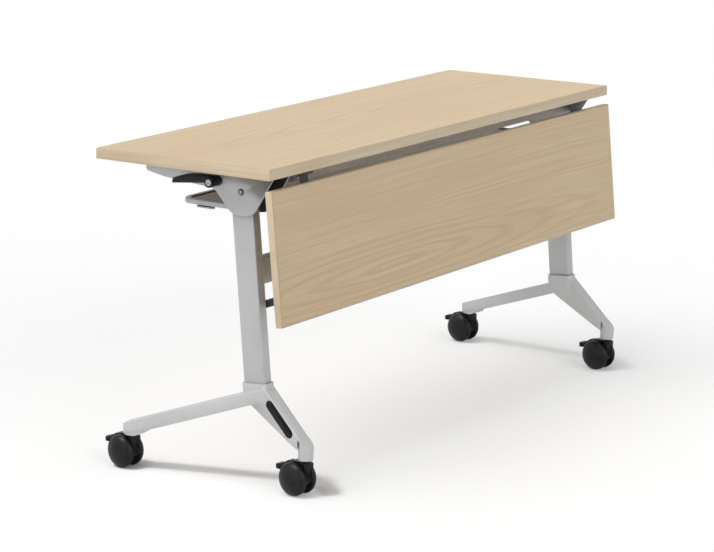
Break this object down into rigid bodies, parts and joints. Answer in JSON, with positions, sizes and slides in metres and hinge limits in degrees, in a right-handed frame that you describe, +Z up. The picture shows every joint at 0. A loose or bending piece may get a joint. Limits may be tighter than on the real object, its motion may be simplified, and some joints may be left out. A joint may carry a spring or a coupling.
{
  "type": "flip top training table",
  "caption": "Rectangular flip top training table on leaning T-legs with casters, a hinged modesty panel, a storage tray and release levers.",
  "frame": {"origin": "on the floor under the middle of the table's bounding box", "axes": "+X along the table's length, +Y towards the user's side, +Z up"},
  "size_m": [1.5486, 0.5698, 0.76],
  "materials": {
    "maple_board": "pale maple melamine board with fine straight grain, satin",
    "maple_edge": "pale maple edge band, satin",
    "silver_paint": "silver grey powder coat, fine texture",
    "cast_silver": "silver painted die casting, slightly rough",
    "dark_paint": "dark grey powder coat",
    "tray_sheet": "grey powder coated sheet",
    "zinc_steel": "bright zinc plated steel",
    "black_plastic": "black moulded nylon, satin",
    "wheel_nylon": "black moulded nylon wheel, satin"
  },
  "bodies": {
    "frame": {"column_left": "silver_paint", "column_right": "silver_paint", "pivot_head_left": "dark_paint", "pivot_head_right": "dark_paint", "foot_left": "cast_silver", "foot_right": "cast_silver", "foot_insert_left": "black_plastic", "foot_insert_right": "black_plastic", "tray_arm_left": "silver_paint", "tray_arm_right": "silver_paint", "bag_hook_left": "silver_paint", "bag_hook_right": "silver_paint", "stretcher": "silver_paint", "tray_rail": "silver_paint", "tray_floor": "tray_sheet"},
    "top": {"worktop": "maple_board", "worktop_edge_band": "maple_edge", "top_beam": "silver_paint", "flip_bracket_left": "silver_paint", "flip_bracket_right": "silver_paint", "pivot_bolt_left": "zinc_steel", "pivot_bolt_right": "zinc_steel", "panel_hinge_top_leaf_left": "dark_paint", "panel_hinge_top_leaf_right": "dark_paint", "panel_hinge_pin_left": "zinc_steel", "panel_hinge_pin_right": "zinc_steel"},
    "panel": {"modesty_panel": "maple_board", "panel_edge_band": "maple_edge", "panel_hinge_panel_leaf_left": "dark_paint", "panel_hinge_panel_leaf_right": "dark_paint", "link_bracket_left": "dark_paint", "link_bracket_right": "dark_paint"},
    "link_left": {"panel_link_left": "dark_paint"},
    "lever_left": {"lever_handle_left": "black_plastic", "lever_shaft_left": "zinc_steel"},
    "link_right": {"panel_link_right": "dark_paint"},
    "lever_right": {"lever_handle_right": "black_plastic", "lever_shaft_right": "zinc_steel"},
    "rear_caster_left": {"rear_caster_left_hood": "black_plastic", "rear_caster_left_axle": "zinc_steel"},
    "rear_caster_left_wheels": {"rear_caster_left_wheel_a": "wheel_nylon", "rear_caster_left_wheel_b": "wheel_nylon"},
    "rear_caster_left_pedal": {"rear_caster_left_brake_pedal": "black_plastic"},
    "rear_caster_right": {"rear_caster_right_hood": "black_plastic", "rear_caster_right_axle": "zinc_steel"},
    "rear_caster_right_wheels": {"rear_caster_right_wheel_a": "wheel_nylon", "rear_caster_right_wheel_b": "wheel_nylon"},
    "rear_caster_right_pedal": {"rear_caster_right_brake_pedal": "black_plastic"},
    "front_caster_left": {"front_caster_left_hood": "black_plastic", "front_caster_left_axle": "zinc_steel"},
    "front_caster_left_wheels": {"front_caster_left_wheel_a": "wheel_nylon", "front_caster_left_wheel_b": "wheel_nylon"},
    "front_caster_left_pedal": {"front_caster_left_brake_pedal": "black_plastic"},
    "front_caster_right": {"front_caster_right_hood": "black_plastic", "front_caster_right_axle": "zinc_steel"},
    "front_caster_right_wheels": {"front_caster_right_wheel_a": "wheel_nylon", "front_caster_right_wheel_b": "wheel_nylon"},
    "front_caster_right_pedal": {"front_caster_right_brake_pedal": "black_plastic"}
  },
  "joints": [
    {"name": "top_flip", "type": "hinge", "parent": "frame", "child": "top", "pos_m": [-0.00329, -0.09713, 0.69], "axis": [1, 0, 0], "range_deg": [0, 90]},
    {"name": "panel_swing", "type": "hinge", "parent": "top", "child": "panel", "pos_m": [-0.00329, -0.20113, 0.73], "axis": [1, 0, 0], "range_deg": [-90, 0]},
    {"name": "link_turn_left", "type": "hinge", "parent": "frame", "child": "link_left", "pos_m": [-0.66229, -0.10873, 0.41797], "axis": [1, 0, 0], "range_deg": [0, 90]},
    {"name": "lever_pull_left", "type": "hinge", "parent": "top", "child": "lever_left", "pos_m": [-0.70329, -0.03613, 0.711], "axis": [1, 0, 0], "range_deg": [0, 7], "stiffness_Nm_per_rad": 1.5, "springref_deg": -5.73},
    {"name": "link_turn_right", "type": "hinge", "parent": "frame", "child": "link_right", "pos_m": [0.65571, -0.10873, 0.41797], "axis": [1, 0, 0], "range_deg": [0, 90]},
    {"name": "lever_pull_right", "type": "hinge", "parent": "top", "child": "lever_right", "pos_m": [0.69671, -0.03613, 0.711], "axis": [1, 0, 0], "range_deg": [0, 7], "stiffness_Nm_per_rad": 1.5, "springref_deg": -5.73},
    {"name": "rear_caster_left_swivel", "type": "hinge", "parent": "frame", "child": "rear_caster_left", "pos_m": [-0.74128, 0.19962, 0.083], "axis": [0, 0, 1], "continuous": true},
    {"name": "rear_caster_left_roll", "type": "hinge", "parent": "rear_caster_left", "child": "rear_caster_left_wheels", "pos_m": [-0.73799, 0.22642, 0.04], "axis": [0.9925, -0.1219, 0], "continuous": true},
    {"name": "rear_caster_left_brake", "type": "hinge", "parent": "rear_caster_left", "child": "rear_caster_left_pedal", "pos_m": [-0.73531, 0.24826, 0.074], "axis": [0.9925, -0.1219, 0], "range_deg": [-10, 0]},
    {"name": "rear_caster_right_swivel", "type": "hinge", "parent": "frame", "child": "rear_caster_right", "pos_m": [0.7347, 0.19962, 0.083], "axis": [0, 0, 1], "continuous": true},
    {"name": "rear_caster_right_roll", "type": "hinge", "parent": "rear_caster_right", "child": "rear_caster_right_wheels", "pos_m": [0.73799, 0.22642, 0.04], "axis": [0.9925, -0.1219, 0], "continuous": true},
    {"name": "rear_caster_right_brake", "type": "hinge", "parent": "rear_caster_right", "child": "rear_caster_right_pedal", "pos_m": [0.74067, 0.24826, 0.074], "axis": [0.9925, -0.1219, 0], "range_deg": [-10, 0]},
    {"name": "front_caster_left_swivel", "type": "hinge", "parent": "frame", "child": "front_caster_left", "pos_m": [-0.69042, -0.26639, 0.083], "axis": [0, 0, 1], "continuous": true},
    {"name": "front_caster_left_roll", "type": "hinge", "parent": "front_caster_left", "child": "front_caster_left_wheels", "pos_m": [-0.68713, -0.23959, 0.04], "axis": [0.9925, -0.1219, 0], "continuous": true},
    {"name": "front_caster_left_brake", "type": "hinge", "parent": "front_caster_left", "child": "front_caster_left_pedal", "pos_m": [-0.68445, -0.21776, 0.074], "axis": [0.9925, -0.1219, 0], "range_deg": [-10, 0]},
    {"name": "front_caster_right_swivel", "type": "hinge", "parent": "frame", "child": "front_caster_right", "pos_m": [0.68384, -0.26639, 0.083], "axis": [0, 0, 1], "continuous": true},
    {"name": "front_caster_right_roll", "type": "hinge", "parent": "front_caster_right", "child": "front_caster_right_wheels", "pos_m": [0.68713, -0.23959, 0.04], "axis": [0.9925, -0.1219, 0], "continuous": true},
    {"name": "front_caster_right_brake", "type": "hinge", "parent": "front_caster_right", "child": "front_caster_right_pedal", "pos_m": [0.68981, -0.21776, 0.074], "axis": [0.9925, -0.1219, 0], "range_deg": [-10, 0]}
  ],
  "couplings": [
    {"joint": "panel_swing", "follows": "top_flip", "ratio": -1},
    {"joint": "link_turn_left", "follows": "top_flip", "ratio": 1},
    {"joint": "link_turn_right", "follows": "top_flip", "ratio": 1}
  ]
}
